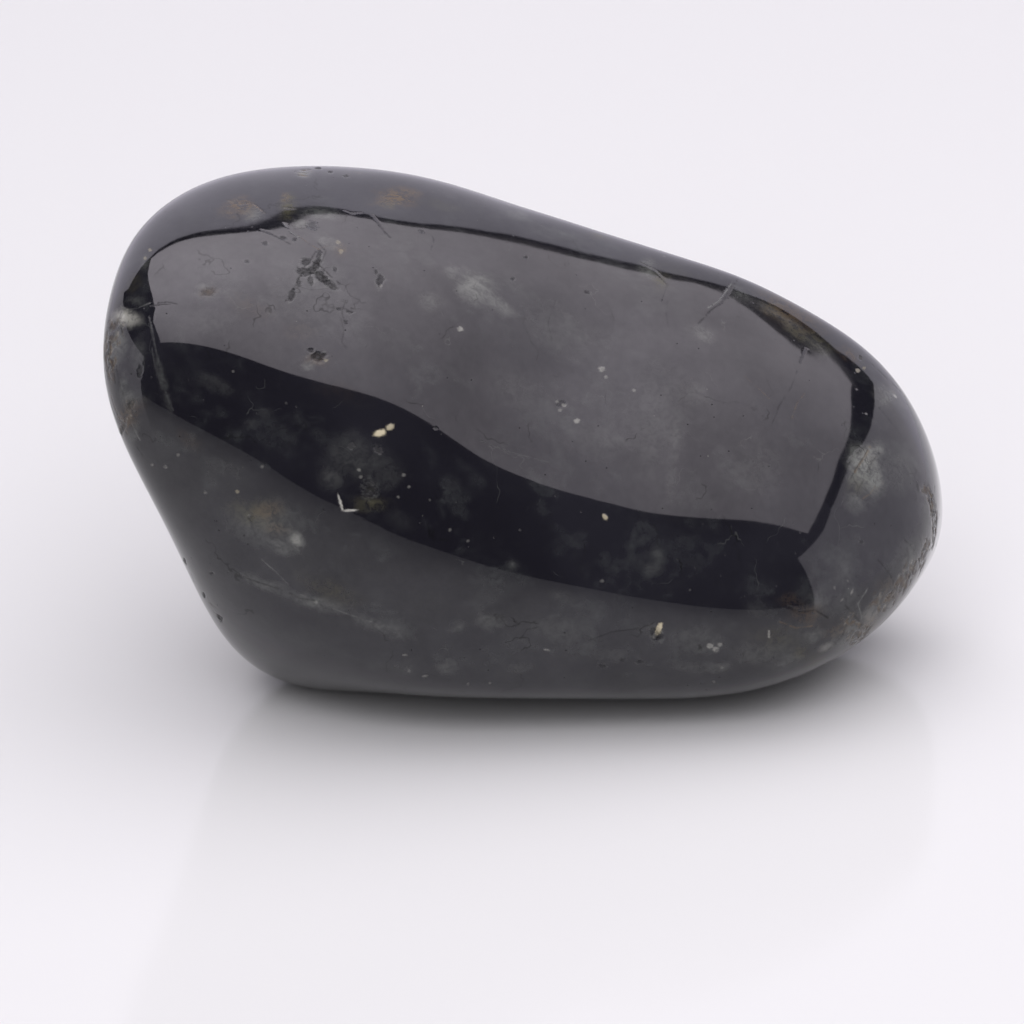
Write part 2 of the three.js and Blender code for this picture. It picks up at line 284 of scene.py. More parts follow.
# hairline cracks and scratches: points, half-width px, depth mm, colour 'dark'|'pale'|'rust', strength
CRACKS = [
    ([(738, 279), (735, 283), (728, 293), (722, 302), (712, 308), (700, 320)], 1.3, 0.02, 'dark', 0.7),
    ([(733, 281), (726, 291), (719, 300), (709, 306)], 0.9, 0.0, 'pale', 0.6),
    ([(808, 345), (800, 365), (793, 385), (780, 405), (772, 425)], 0.8, 0.015, 'dark', 0.45),
    ([(668, 300), (667, 312), (669, 325)], 0.7, 0.01, 'dark', 0.35),
    ([(262, 231), (270, 234), (281, 240), (292, 246)], 1.2, 0.02, 'dark', 0.8),
    ([(284, 224), (290, 232), (298, 238), (306, 236)], 1.0, 0.02, 'pale', 0.6),
    ([(373, 216), (378, 224), (383, 231), (390, 238)], 1.2, 0.02, 'dark', 0.7),
    ([(344, 212), (352, 215), (362, 214)], 0.9, 0.01, 'dark', 0.5),
    ([(869, 448), (864, 457), (858, 466), (853, 474), (849, 482)], 0.9, 0.02, 'dark', 0.75),
    ([(871, 446), (866, 455), (860, 464), (855, 472)], 1.3, 0.0, 'rust', 0.8),
    ([(880, 452), (872, 462), (866, 476), (858, 490)], 1.0, 0.01, 'dark', 0.5),
    ([(866, 357), (876, 366), (885, 375), (896, 386), (905, 396)], 1.2, 0.03, 'dark', 0.8),
    ([(158, 303), (167, 302), (177, 304)], 0.8, 0.01, 'dark', 0.6),
    ([(341, 318), (344, 330), (342, 342), (348, 350)], 0.8, 0.01, 'dark', 0.4),
    ([(240, 575), (258, 582), (280, 589), (300, 598), (320, 601)], 1.0, 0.01, 'dark', 0.5),
    ([(300, 594), (322, 604), (345, 613), (372, 622), (398, 634)], 1.0, 0.01, 'pale', 0.45),
    ([(262, 560), (276, 572), (290, 586)], 0.9, 0.01, 'pale', 0.4),
    ([(556, 300), (548, 322), (552, 340)], 0.6, 0.005, 'dark', 0.3),
    ([(742, 372), (758, 386), (770, 398)], 0.6, 0.005, 'rust', 0.4),
    ([(806, 392), (798, 402), (792, 418)], 0.7, 0.005, 'rust', 0.4),
    ([(480, 440), (510, 452), (548, 462)], 0.6, 0.004, 'pale', 0.25),
    ([(590, 640), (612, 632), (640, 628)], 0.7, 0.01, 'dark', 0.5),
    ([(788, 606), (800, 612), (815, 610), (828, 618)], 1.1, 0.02, 'dark', 0.7),
    ([(780, 622), (796, 628), (812, 626)], 0.9, 0.01, 'rust', 0.6),
    ([(226, 200), (238, 206), (252, 204), (264, 214)], 1.2, 0.02, 'rust', 0.8),
    ([(118, 318), (123, 330), (120, 344)], 1.2, 0.02, 'rust', 0.7),
    ([(108, 352), (114, 366), (116, 382)], 1.2, 0.03, 'dark', 0.7),
    ([(930, 500), (934, 520), (930, 545)], 1.2, 0.03, 'rust', 0.8),
    ([(905, 540), (915, 552), (920, 568)], 1.0, 0.02, 'dark', 0.6),
    ([(878, 560), (890, 575), (896, 590)], 1.0, 0.02, 'dark', 0.6),
    ([(868, 588), (858, 604), (862, 618)], 1.0, 0.02, 'pale', 0.6),
    ([(149, 316), (152, 330), (155, 346), (159, 364)], 0.8, 0.002, 'pale', 0.3),
    ([(158, 358), (162, 376), (167, 396), (173, 410)], 0.8, 0.002, 'pale', 0.38),
    ([(152, 348), (155, 366), (161, 384)], 0.8, 0.003, 'pale', 0.3),
    ([(120, 306), (128, 310), (138, 308), (150, 303)], 0.9, 0.01, 'pale', 0.5),
    ([(105, 368), (108, 392), (116, 416), (124, 438)], 1.6, 0.03, 'dark', 0.6),
    ([(112, 396), (118, 414), (128, 434)], 1.4, 0.02, 'rust', 0.6),
    ([(862, 458), (870, 462), (876, 458)], 0.6, 0.01, 'dark', 0.55),
    ([(858, 467), (864, 474), (872, 477)], 0.6, 0.01, 'dark', 0.5),
    ([(852, 476), (858, 486), (857, 496)], 0.6, 0.01, 'dark', 0.5),
    ([(876, 486), (870, 494), (862, 499)], 0.6, 0.01, 'rust', 0.5),
    ([(866, 446), (856, 452), (848, 462)], 0.6, 0.01, 'dark', 0.45),
    ([(908, 462), (916, 478), (920, 490)], 0.7, 0.01, 'dark', 0.45),
    ([(936, 486), (931, 504), (937, 520)], 0.9, 0.02, 'dark', 0.6),
    ([(940, 514), (934, 530), (936, 546)], 0.9, 0.02, 'pale', 0.7),
    ([(926, 548), (918, 560), (910, 576)], 0.9, 0.02, 'pale', 0.7),
    ([(892, 592), (880, 606), (872, 620)], 0.9, 0.02, 'rust', 0.7),
    ([(848, 620), (842, 636), (828, 650)], 0.8, 0.02, 'dark', 0.6),
    ([(316, 252), (311, 260), (304, 268), (298, 280), (292, 292)], 0.9, 0.02, 'dark', 0.8),
    ([(312, 262), (322, 268), (330, 276), (340, 284)], 0.9, 0.02, 'dark', 0.8),
    ([(318, 244), (326, 252), (322, 262)], 0.8, 0.01, 'dark', 0.6),
    ([(298, 236), (308, 244), (318, 250), (330, 246)], 0.8, 0.01, 'rust', 0.5),
    ([(352, 312), (344, 308), (334, 308)], 0.8, 0.01, 'dark', 0.6),
    ([(346, 300), (342, 312), (345, 324)], 0.7, 0.01, 'dark', 0.5),
    ([(640, 262), (656, 270), (668, 284), (662, 300)], 0.7, 0.01, 'dark', 0.4),
    ([(430, 232), (434, 240), (431, 250)], 0.6, 0.01, 'dark', 0.4),
    ([(905, 396), (914, 406), (922, 418), (928, 430), (933, 443)], 0.8, 0.01, 'dark', 0.5),
    ([(106, 372), (108, 390), (113, 408)], 0.9, 0.01, 'pale', 0.6),
    ([(116, 360), (119, 378), (124, 396)], 0.8, 0.01, 'dark', 0.5),
    ([(128, 410), (133, 426), (140, 440)], 0.9, 0.01, 'pale', 0.5),
    ([(111, 340), (109, 356), (112, 370)], 0.8, 0.01, 'pale', 0.6),
    ([(150, 306), (158, 305), (170, 304)], 0.7, 0.01, 'dark', 0.6),
    ([(872, 640), (884, 622), (898, 606), (912, 584)], 1.6, 0.02, 'dark', 0.75), ([(846, 606), (858, 620), (868, 630)], 1.2, 0.012, 'dark', 0.6), ([(893, 628), (902, 612), (918, 596)], 1.2, 0.012, 'white', 0.5),
]
# specks: x, y, half-width, half-height, turn, colour, strength, height mm
SPECKS = [
    (460, 329, 3, 2.6, 0, 'white', 0.9, 0.004), (602, 369, 2.8, 2.6, 0, 'white', 0.9, 0.004), (606, 377, 1.8, 1.8, 0, 'white', 0.7, 0),
    (634, 390, 1.8, 1.6, 0, 'white', 0.8, 0), (557, 402, 2.0, 1.5, 0, 'white', 0.7, 0), (564, 405, 2.6, 1.5, 20, 'white', 0.7, 0), (560, 410, 2.0, 1.5, 0, 'white', 0.6, 0),
    (577, 421, 3.0, 2.2, -20, 'white', 0.8, 0), (605, 517, 3.4, 2.0, 50, 'cream', 1.0, 0.01), (380, 433, 6.0, 3.2, -12, 'cream', 1.0, 0.012), (390, 427, 4.2, 2.8, -30, 'cream', 0.95, 0.012),
    (359, 470, 1.8, 1.6, 0, 'white', 0.8, 0), (361, 477, 1.6, 1.6, 0, 'white', 0.8, 0), (404, 475, 1.8, 1.8, 0, 'white', 0.7, 0), (409, 487, 1.6, 1.6, 0, 'white', 0.7, 0),
    (398, 497, 1.5, 1.5, 0, 'white', 0.7, 0), (262, 467, 1.6, 1.6, 0, 'white', 0.7, 0), (205, 493, 1.6, 1.6, 0, 'white', 0.6, 0), (237, 492, 2.0, 1.8, 0, 'cream', 0.7, 0),
    (249, 516, 1.6, 1.6, 0, 'white', 0.8, 0), (316, 602, 1.8, 1.6, 0, 'white', 0.6, 0), (450, 530, 1.6, 1.6, 0, 'white', 0.6, 0), (468, 541, 1.5, 1.5, 0, 'white', 0.6, 0),
    (602, 581, 1.8, 1.6, 0, 'white', 0.6, 0), (769, 634, 1.1, 3.8, 0, 'white', 0.8, 0), (547, 650, 3.2, 1.1, 15, 'white', 0.6, 0), (425, 676, 3.0, 1.1, -10, 'white', 0.6, 0),
    (405, 655, 2.6, 1.1, 0, 'white', 0.6, 0), (659, 629, 2.6, 6.6, 22, 'cream', 0.9, 0.01), (655, 636, 2.0, 3.0, 30, 'white', 0.8, 0), (710, 646, 3.4, 2.4, 0, 'white', 0.8, 0.004),
    (716, 650, 3.0, 2.6, 0, 'white', 0.8, 0.004), (720, 645, 2.4, 2.0, 0, 'white', 0.7, 0), (409, 671, 1.4, 1.4, 0, 'white', 0.6, 0), (490, 683, 1.4, 1.4, 0, 'white', 0.6, 0),
    (468, 684, 1.4, 1.4, 0, 'white', 0.6, 0), (722, 668, 1.4, 1.4, 0, 'white', 0.6, 0), (714, 682, 1.4, 1.4, 0, 'white', 0.5, 0), (761, 683, 1.5, 1.4, 0, 'white', 0.5, 0),
    (150, 250, 1.8, 1.6, 0, 'cream', 0.8, 0), (145, 258, 1.6, 1.6, 0, 'cream', 0.8, 0), (165, 467, 2.0, 1.6, 0, 'white', 0.7, 0), (152, 465, 1.6, 1.6, 0, 'white', 0.6, 0),
    (178, 455, 1.6, 1.6, 0, 'white', 0.6, 0), (860, 368, 2.2, 1.8, 30, 'cream', 0.7, 0), (866, 366, 1.8, 1.6, 0, 'cream', 0.6, 0), (868, 412, 1.4, 1.1, 20, 'white', 0.7, 0),
    (859, 387, 1.3, 1.0, 40, 'white', 0.5, 0), (852, 592, 0.9, 3.4, 20, 'white', 0.6, 0), (842, 600, 0.8, 2.6, 40, 'white', 0.4, 0), (835, 588, 0.9, 2.2, -20, 'white', 0.4, 0), (848, 581, 1.2, 1.0, 0, 'white', 0.5, 0),
    (338, 243, 2.2, 2.0, 0, 'cream', 0.5, 0), (341, 252, 2.0, 2.4, 0, 'cream', 0.5, 0), (381, 286, 1.6, 1.4, 0, 'white', 0.9, 0), (326, 360, 2.2, 1.6, 0, 'cream', 0.6, 0),
    (340.5, 503, 1.2, 8.6, -17, 'white', 0.95, 0.02), (350, 510.5, 7.2, 1.2, -3, 'white', 0.95, 0.02), (513, 564, 2.0, 1.8, 0, 'pale', 0.8, 0), (233, 371, 1.5, 1.3, 0, 'white', 0.5, 0),
    (286, 403, 1.3, 1.3, 0, 'white', 0.4, 0), (430, 500, 1.3, 1.2, 0, 'white', 0.4, 0), (520, 530, 1.2, 1.2, 0, 'white', 0.4, 0), (690, 590, 1.3, 1.2, 0, 'white', 0.4, 0),
]
# cloudy patches: x, y, half-width, half-height, turn, colour, strength; a few at the upper right are painted reflection
# instead
PATCHES = [
    (475, 286, 22, 17, 30, 'pale', 0.87), (496, 303, 24, 9, 30, 'pale', 0.50), (452, 272, 12, 8, 30, 'pale', 0.37),
    (655, 420, 34, 62, 8, 'pale', 0.14), (676, 436, 8, 36, 6, 'pale', 0.22), (692, 392, 24, 16, 0, 'pale', 0.14),
    (661, 280, 11, 11, 20, 'olive', 0.75), (705, 332, 17, 12, 20, 'pale', 0.33), (648, 262, 10, 6, 20, 'pale', 0.44),
    (866, 470, 22, 32, -25, 'pale', 0.95), (856, 500, 13, 12, 0, 'pale', 0.50), (880, 448, 9, 11, 0, 'pale', 0.64), (892, 394, 11, 12, 20, 'pale', 0.57),
    (262, 523, 44, 24, 8, 'pale', 0.33), (255, 515, 28, 16, 10, 'olive', 0.55), (275, 528, 12, 7, 0, 'rust', 0.35), (296, 540, 9, 8, 0, 'pale', 0.95), (282, 547, 18, 8, 20, 'pale', 0.50),
    (262, 583, 26, 7, 20, 'pale', 0.44), (316, 603, 34, 8, 16, 'pale', 0.46), (378, 626, 36, 8, 20, 'pale', 0.38), (330, 590, 40, 12, 20, 'olive', 0.35),
    (356, 456, 34, 26, -10, 'pale', 0.2), (332, 478, 17, 16, 0, 'pale', 0.22), (382, 474, 24, 22, 0, 'pale', 0.16), (372, 504, 22, 9, 0, 'olive', 0.55),
    (452, 484, 7, 6, 0, 'pale', 0.07), (513, 565, 8, 7, 0, 'pale', 0.2), (655, 570, 12, 8, 0, 'pale', 0.22), (400, 520, 18, 10, 20, 'pale', 0.08),
    (490, 620, 16, 10, 0, 'pale', 0.33), (458, 628, 10, 8, 0, 'pale', 0.33), (448, 668, 12, 8, 0, 'pale', 0.30), (560, 630, 30, 14, 10, 'pale', 0.17), (700, 640, 30, 16, 0, 'pale', 0.22),
    (852, 631, 10, 11, 0, 'pale', 0.71), (802, 652, 10, 8, 0, 'olive', 0.5), (760, 655, 26, 14, -10, 'pale', 0.25), (720, 668, 18, 8, 0, 'pale', 0.30),
    (212, 386, 18, 6, 30, 'pale', 0.14), (265, 414, 9, 6, 20, 'pale', 0.16), (250, 424, 8, 5, 20, 'pale', 0.14), (320, 300, 60, 40, 20, 'pale', 0.12),
    (124, 317, 14, 9, 20, 'white', 0.9), (118, 345, 9, 16, 0, 'pale', 0.71), (126, 420, 12, 20, 20, 'rust', 0.45), (130, 400, 10, 12, 0, 'pale', 0.50),
    (241, 207, 17, 10, 10, 'rust', 0.95), (252, 214, 12, 8, 0, 'pale', 0.57), (288, 206, 9, 17, 5, 'olive', 1.0), (285, 198, 5, 7, 0, 'rust', 0.7), (397, 198, 20, 10, 10, 'rust', 1.0), (388, 205, 16, 6, 0, 'olive', 0.7),
    (304, 173, 9, 7, 0, 'pale', 0.84), (320, 215, 22, 7, 5, 'pale', 0.44), (300, 225, 10, 6, 0, 'pale', 0.64), (440, 205, 24, 6, 12, 'olive', 0.3), (560, 235, 40, 8, 14, 'pale', 0.19),
    (600, 236, 16, 5, 15, 'olive', 0.5), (520, 215, 18, 6, 12, 'pale', 0.25), (740, 292, 14, 8, 25, 'pale', 0.37), (793, 322, 16, 10, 30, 'pale', 0.30),
    (808, 615, 24, 14, 0, 'rust', 0.28), (790, 600, 14, 8, 0, 'rust', 0.2), (900, 470, 20, 26, 0, 'pale', 0.22), (210, 320, 24, 14, 0, 'pale', 0.14), (340, 390, 30, 12, 20, 'rust', 0.06),
    (560, 330, 44, 26, 20, 'pale', 0.11), (520, 390, 40, 22, 20, 'pale', 0.10), (600, 440, 44, 22, 12, 'pale', 0.12), (760, 470, 30, 36, 0, 'pale', 0.11), (430, 300, 16, 12, 0, 'pale', 0.23),
    (117, 356, 5, 18, 4, 'pale', 0.55), (124, 384, 5, 16, 8, 'pale', 0.45), (112, 378, 4, 14, 4, 'rust', 0.5), (132, 436, 6, 14, 18, 'pale', 0.4), (104, 340, 4, 10, 0, 'white', 0.4), (138, 352, 8, 26, 4, 'pale', 0.25), (136, 300, 10, 6, 10, 'pale', 0.3), (146, 262, 6, 10, 20, 'pale', 0.35), (134, 282, 7, 12, 20, 'olive', 0.4),
    (474, 284, 12, 10, 30, 'pale', 0.75), (268, 512, 18, 10, 0, 'rust', 0.5), (296, 540, 7, 7, 0, 'white', 0.35), (868, 456, 10, 14, -20, 'white', 0.22), (858, 486, 12, 14, 0, 'olive', 0.35), (870, 480, 20, 26, -20, 'pale', 0.5), (230, 214, 14, 6, 10, 'rust', 0.6), (410, 192, 16, 6, 15, 'rust', 0.7), (384, 203, 14, 7, 5, 'rust', 0.6), (912, 556, 14, 26, 20, 'pale', 0.3), (896, 592, 16, 18, 40, 'rust', 0.35), (880, 612, 16, 12, -40, 'pale', 0.4), (930, 520, 8, 34, -6, 'pale', 0.35), (845, 640, 18, 12, -30, 'pale', 0.4), (815, 662, 18, 8, -20, 'olive', 0.4), (850, 600, 24, 18, 0, 'pale', 0.2), (780, 640, 30, 16, 0, 'olive', 0.25),
    # on the next line, the olive patches at (820, 335) and (780, 312) are painted reflection: grey-green laid along the
    # reflected dark gap between the overhead panel and the back wall, standing in for the panel's reflection there
    (330, 244, 14, 8, 20, 'pale', 0.4), (340, 250, 7, 8, 0, 'rust', 0.45), (320, 285, 18, 8, 30, 'pale', 0.3), (208, 292, 12, 6, -12, 'rust', 0.35), (205, 286, 10, 4, -12, 'pale', 0.3), (318, 360, 14, 8, 5, 'rust', 0.35), (308, 366, 8, 5, 0, 'pale', 0.5), (250, 306, 26, 12, 20, 'rust', 0.12), (262, 300, 8, 4, 20, 'pale', 0.25), (300, 330, 16, 10, 0, 'rust', 0.15), (650, 272, 14, 7, 20, 'pale', 0.5), (852, 352, 16, 7, 40, 'rust', 0.45), (820, 335, 22, 6, 35, 'olive', 0.5), (780, 312, 22, 6, 28, 'olive', 0.45), (900, 400, 8, 20, -30, 'pale', 0.3), (884, 390, 10, 12, -30, 'pale', 0.35),
    (218, 384, 20, 7, 30, 'pale', 0.2),
    (820, 600, 28, 14, 20, 'pale', 0.22), (812, 636, 14, 8, 0, 'pale', 0.35), (786, 662, 18, 8, -10, 'pale', 0.28), (842, 572, 12, 20, 10, 'pale', 0.16), (905, 600, 9, 18, 40, 'rust', 0.5), (872, 626, 14, 9, -40, 'rust', 0.5), (826, 648, 9, 5, -20, 'white', 0.25), (160, 372, 5, 22, -14, 'pale', 0.3), (168, 402, 4, 12, -16, 'pale', 0.3), (760, 610, 20, 10, 10, 'pale', 0.15), (690, 668, 30, 8, 0, 'pale', 0.16), (610, 655, 26, 8, 5, 'pale', 0.14), (520, 668, 22, 7, 0, 'pale', 0.15), (400, 668, 24, 8, 5, 'pale', 0.14), (560, 596, 16, 6, 10, 'pale', 0.12), (230, 470, 26, 10, 30, 'pale', 0.12), (190, 440, 16, 8, 30, 'rust', 0.15),
    # the first three patches on the next line, at (806, 332), (818, 342) and (772, 306), are painted reflection:
    # grey-green filling the reflected dark gap between the overhead panel and the back wall, standing in for the
    # panel's reflection
    (806, 332, 30, 8, 33, 'olive', 0.45), (818, 342, 22, 7, 38, 'pale', 0.32), (772, 306, 22, 5, 30, 'pale', 0.2), (672, 478, 7, 30, 3, 'pale', 0.16), (659, 556, 9, 12, 0, 'pale', 0.18), (868, 618, 16, 9, -40, 'white', 0.22), (884, 596, 12, 6, -50, 'pale', 0.35), (840, 630, 18, 7, -25, 'rust', 0.3),
]
# unpolished places: x, y, half-width, half-height, turn, strength, depth mm
ROUGHS = [
    (109, 350, 7, 34, 2, 0.9, 0.06), (120, 326, 9, 11, 0, 0.6, 0.05), (124, 418, 9, 20, 20, 0.55, 0.04),
    (936, 520, 7, 42, -6, 0.95, 0.07), (925, 556, 8, 22, 20, 0.8, 0.06), (906, 580, 10, 22, 35, 0.8, 0.06), (884, 603, 15, 12, -40, 0.8, 0.06), (858, 634, 15, 16, -40, 0.8, 0.06),
    (303, 172, 10, 7, 0, 0.7, 0.05), (240, 206, 14, 7, 10, 0.22, 0.008), (288, 206, 6, 13, 5, 0.25, 0.008), (397, 198, 15, 7, 10, 0.22, 0.008), (356, 174, 14, 4, 5, 0.25, 0.015),
    (866, 470, 16, 26, -25, 0.12, 0.004), (890, 384, 6, 10, -40, 0.22, 0.008), (193, 578, 4, 14, -32, 0.4, 0.03), (215, 610, 4, 14, -36, 0.4, 0.03), (300, 228, 9, 4, 5, 0.3, 0.01),
]

class Spot:
    """an elliptical footprint on the surface, laid out in the frame's own pixels"""
    def __init__(self, p0, j1, j2, rx, ry, turn):
        n = unit(np.cross(j1, j2))
        m = np.stack([j1, j2, n], 1)
        self.p0, self.n, self.inv = p0, n, np.linalg.inv(m)
        self.rx, self.ry = rx, ry
        self.c, self.s = math.cos(math.radians(turn)), math.sin(math.radians(turn))
        self.reach = max(np.linalg.norm(j1), np.linalg.norm(j2)) * max(rx, ry)

    def q(self, p, grow=2.6):
        """indices near the spot and their scaled distance, 1 at its edge"""
        d = p - self.p0
        near = np.flatnonzero((d * d).sum(1) < (self.reach * grow) ** 2)
        a = d[near] @ self.inv.T
        x = a[:, 0] * self.c + a[:, 1] * self.s
        y = -a[:, 0] * self.s + a[:, 1] * self.c
        return near, np.hypot(x / self.rx, y / self.ry)

def spots_from(rows):
    xy = np.array([(r[0], r[1]) for r in rows], float)
    p0 = seen_at(xy)
    px1, px2 = seen_at(xy + [1.5, 0]), seen_at(xy - [1.5, 0])
    py1, py2 = seen_at(xy + [0, 1.5]), seen_at(xy - [0, 1.5])
    out = []
    for i, r in enumerate(rows):
        j1, j2 = (px1[i] - px2[i]) / 3, (py1[i] - py2[i]) / 3
        for j in (j1, j2):
            ln = np.linalg.norm(j)
            j *= min(ln, 0.12) / max(ln, 1e-9) if ln > 0.12 else 1.0
        if np.linalg.norm(np.cross(j1, j2)) < 1e-5:
            j1, j2 = RIGHT * MM_PER_PX, -UP * MM_PER_PX
        out.append(Spot(p0[i], j1, j2, r[2], r[3], r[4]))
    return out

def spot_on(u, rx, ry, turn):
    """the same on any side of the stone, from a direction out of its middle"""
    u = unit(np.asarray(u, float))
    a = unit(np.cross(u, [0.13, 0.31, 0.94]))
    b = np.cross(u, a)
    e = 0.02
    pts = np.array([u, unit(u + e * a), unit(u - e * a), unit(u + e * b), unit(u - e * b)])
    p = MIDDLE + radius(pts)[:, None] * pts
    j1 = unit(p[1] - p[2])
    n = unit(np.cross(j1, p[3] - p[4]))
    j2 = np.cross(n, j1)
    return Spot(p[0], j1 * MM_PER_PX, j2 * MM_PER_PX, rx, ry, turn)

pits = [(s, r[5], r[6]) for s, r in zip(spots_from(PITS), PITS)]
specks = [(s, r[5], r[6], r[7]) for s, r in zip(spots_from(SPECKS), SPECKS)]
patches = [(s, r[5], r[6]) for s, r in zip(spots_from(PATCHES), PATCHES)]
roughs = [(s, r[5], r[6]) for s, r in zip(spots_from(ROUGHS), ROUGHS)]
cracks = [(seen_at(r[0]), 0.8 * r[1] * MM_PER_PX, 0.35 * r[2], r[3], r[4]) for r in CRACKS]

# the sides, back and underneath carry the same kinds of marks, scattered
rng = np.random.default_rng(77)
def off_side(limit=0.1):
    while True:
        u = unit(rng.normal(size=3))
        if u @ BACK < limit:
            return u
for _ in range(46):
    r = rng.uniform(1.2, 3.2)
    specks.append((spot_on(off_side(-0.05), r, r * rng.uniform(0.6, 1.3), rng.uniform(0, 180)), rng.choice(['white', 'cream', 'pale']), rng.uniform(0.5, 1), 0.0))
for _ in range(20):
    r = rng.uniform(5, 15)
    c = off_side(-0.28)
    for _ in range(rng.integers(1, 4)):
        pits.append((spot_on(c + rng.normal(size=3) * 0.03, r * rng.uniform(0.4, 1), r * rng.uniform(0.25, 0.7), rng.uniform(0, 180)), rng.uniform(0.03, 0.1), rng.uniform(0.5, 1)))
for _ in range(34):
    r = rng.uniform(14, 60)
    patches.append((spot_on(off_side(0.0), r, r * rng.uniform(0.3, 1), rng.uniform(0, 180)), rng.choice(['pale', 'pale', 'olive', 'rust', 'white']), rng.uniform(0.2, 0.75)))
for _ in range(9):
    r = rng.uniform(12, 34)
    roughs.append((spot_on(off_side(-0.1), r, r * rng.uniform(0.3, 0.8), rng.uniform(0, 180)), rng.uniform(0.5, 0.9), rng.uniform(0.03, 0.08)))
for _ in range(13):
    u = off_side(-0.05)
    t = unit(np.cross(u, rng.normal(size=3)))
    line = []
    for k in range(9):
        line.append(u)
        t = unit(t + rng.normal(size=3) * 0.35)
        u = unit(u + t * rng.uniform(0.03, 0.06))
    line = np.array(line)
    cracks.append((MIDDLE + radius(line)[:, None] * line, rng.uniform(0.03, 0.05), rng.uniform(0.015, 0.035), rng.choice(['dark', 'dark', 'pale', 'rust']), rng.uniform(0.5, 0.9)))

def to_line(p, line, reach):
    """indices within reach of a polyline, and their distance to it"""
    lo, hi = line.min(0) - reach, line.max(0) + reach
    near = np.flatnonzero(((p > lo) & (p < hi)).all(1))
    q = p[near]
    best = np.full(len(near), 1e9)
    for a, b in zip(line[:-1], line[1:]):
        ab = b - a
        t = np.clip(((q - a) @ ab) / max(ab @ ab, 1e-12), 0, 1)
        best = np.minimum(best, np.linalg.norm(q - a - t[:, None] * ab, axis=1))
    keep = best < reach
    return near[keep], best[keep]

# =====================================================================================
# The mesh: an even blank, refined where the marks are fine
# =====================================================================================
def icosphere(n):
    t = (1 + 5 ** 0.5) / 2
    v = unit(np.array([(-1, t, 0), (1, t, 0), (-1, -t, 0), (1, -t, 0), (0, -1, t), (0, 1, t), (0, -1, -t), (0, 1, -t), (t, 0, -1), (t, 0, 1), (-t, 0, -1), (-t, 0, 1)], float))
    f = [(0, 11, 5), (0, 5, 1), (0, 1, 7), (0, 7, 10), (0, 10, 11), (1, 5, 9), (5, 11, 4), (11, 10, 2), (10, 7, 6), (7, 1, 8), (3, 9, 4), (3, 4, 2), (3, 2, 6), (3, 6, 8), (3, 8, 9), (4, 9, 5), (2, 4, 11), (6, 2, 10), (8, 6, 7), (9, 8, 1)]
    pts, tris, seen = [], [], {}
    def add(p):
        k = tuple(np.round(p, 7))
        if k not in seen:
            seen[k] = len(pts)
            pts.append(p)
        return seen[k]
    for a, b, c in f:
        row = []
        for i in range(n + 1):
            row.append([add((v[a] * (n - i) + v[b] * (i - j) + v[c] * j) / n) for j in range(i + 1)])
        for i in range(n):
            for j in range(i + 1):
                tris.append((row[i][j], row[i + 1][j], row[i + 1][j + 1]))
                if j < i:
                    tris.append((row[i][j], row[i + 1][j + 1], row[i][j + 1]))
    return unit(np.array(pts)), np.array(tris)

def split(u, t, want):
    """splits each edge longer than its wanted length; the triangles stay joined up"""
    p = MIDDLE + radius(u)[:, None] * u
    e = np.sort(np.concatenate([t[:, [0, 1]], t[:, [1, 2]], t[:, [2, 0]]]), 1)
    key, inv = np.unique(e[:, 0] * len(u) + e[:, 1], return_inverse=True)
    e = np.c_[key // len(u), key % len(u)]
    length = np.linalg.norm(p[e[:, 0]] - p[e[:, 1]], axis=1)
    mark = length > 1.35 * want((p[e[:, 0]] + p[e[:, 1]]) / 2)
    if not mark.any():
        return u, t, False
    mid = np.full(len(e), -1)
    mid[mark] = len(u) + np.arange(mark.sum())
    u = np.concatenate([u, unit(p[e[mark, 0]] + p[e[mark, 1]] - 2 * MIDDLE)])
    m = mid[inv].reshape(3, -1).T
    on = m >= 0
    n = on.sum(1)
    out = [t[n == 0]]
    k = n == 3
    a, b, c = t[k].T
    x, y, z = m[k].T
    out += [np.c_[a, x, z], np.c_[x, b, y], np.c_[z, y, c], np.c_[x, y, z]]
    for s in range(3):
        r = [s, (s + 1) % 3, (s + 2) % 3]
        k = (n == 1) & on[:, s]
        a, b, c = t[k][:, r].T
        x = m[k][:, s]
        out += [np.c_[a, x, c], np.c_[x, b, c]]
        k = (n == 2) & ~on[:, s]
        a, b, c = t[k][:, r].T
        y, z = m[k][:, r[1]], m[k][:, r[2]]
        out += [np.c_[a, b, y], np.c_[a, y, z], np.c_[z, y, c]]
    return u, np.concatenate(out), True

BASE = 0.58
def wanted(p):
    h = np.full(len(p), BASE)
    facing = (unit(p - MIDDLE) @ BACK) > -0.1
    h[facing] = 0.28
    def tighten(near, size, away):
        h[near] = np.minimum(h[near], size * 1.42 + 0.45 * np.maximum(away, 0))
    for s, *_ in specks:
        small = min(s.rx, s.ry) * MM_PER_PX
        near, q = s.q(p, 7)
        tighten(near, max(0.45 * small, 0.040), (q - 1.3) * small)
    for s, *_ in pits:
        small = min(s.rx, s.ry) * MM_PER_PX
        near, q = s.q(p, 4)
        tighten(near, min(max(0.25 * small, 0.045), 0.09), (q - 1.3) * small)
    for s, strength, _ in roughs:
        near, q = s.q(p, 3)
        tighten(near, 0.13, (q - 1.1) * min(s.rx, s.ry) * MM_PER_PX)
    for line, w, *_ in cracks:
        near, d = to_line(p, line, w * 2 + 0.8)
        tighten(near, max(w * 0.8, 0.04), (d - 1.4 * w) * 1.3)
    return h

U, T = icosphere(52)
U = unit(U * [1.6, 1.0, 1.05])
for _ in range(7):
    U, T, more = split(U, T, wanted)
    if not more:
        break
print('triangles', len(T), 'points', len(U))

